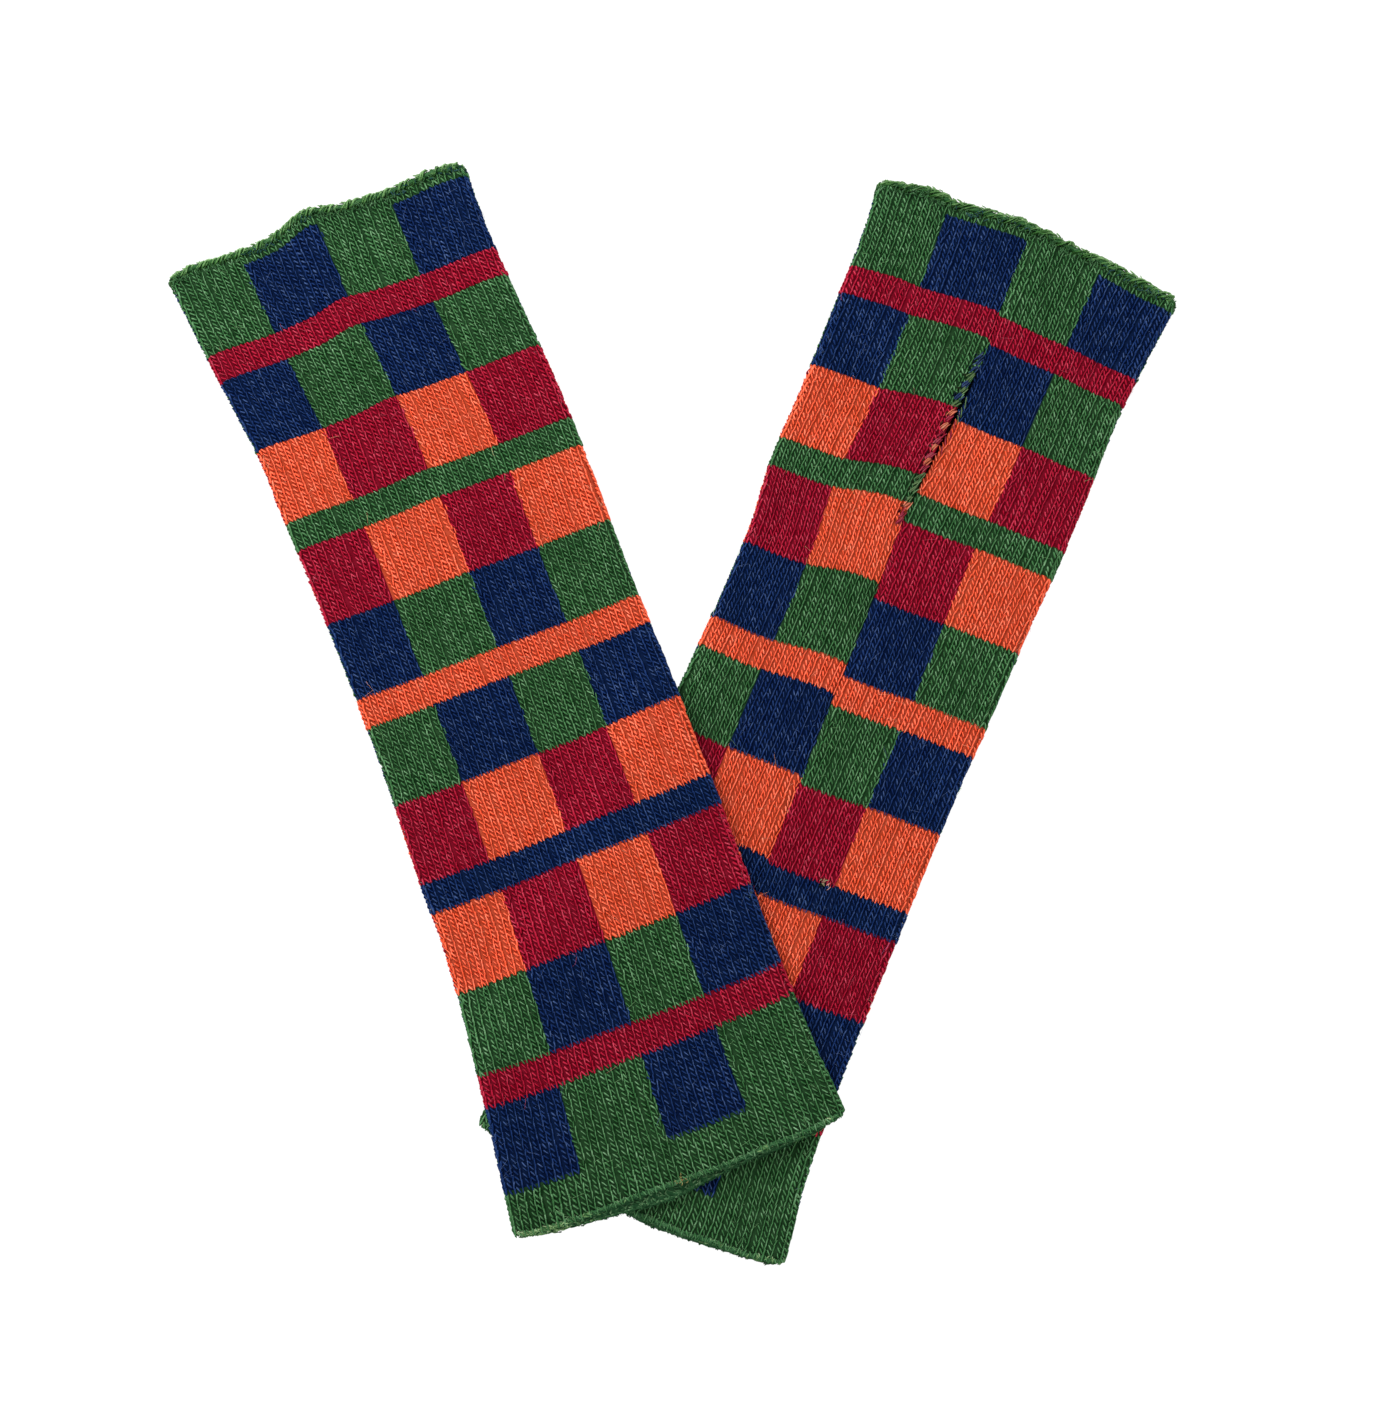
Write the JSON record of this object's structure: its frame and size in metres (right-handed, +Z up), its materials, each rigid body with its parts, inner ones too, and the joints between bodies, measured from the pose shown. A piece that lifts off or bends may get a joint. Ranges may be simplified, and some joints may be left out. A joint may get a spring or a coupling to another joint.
{
  "type": "pair of knitted arm warmers",
  "caption": "Pair of knitted wool arm warmers laid flat, one across the other: fingerless tubes with a seam thumb slit, a chain-edged top and a corded hem.",
  "frame": {"origin": "centre of the pair's box, on the surface that it lies on", "axes": "+X across the pair, +Y from the hems towards the chain-edged tops, +Z up from the surface"},
  "size_m": [0.2886, 0.3084, 0.0107],
  "materials": {
    "knitted_wool": "matt stockinette in green, navy, orange and crimson blocks",
    "edge_wool": "matt green wool, linked chain and cast-on cord"
  },
  "bodies": {
    "root": {"lower_panel": "knitted_wool", "upper_panel": "knitted_wool", "lower_chain": "edge_wool", "upper_chain": "edge_wool", "lower_hem_cord": "edge_wool", "upper_hem_cord": "edge_wool"}
  },
  "joints": []
}
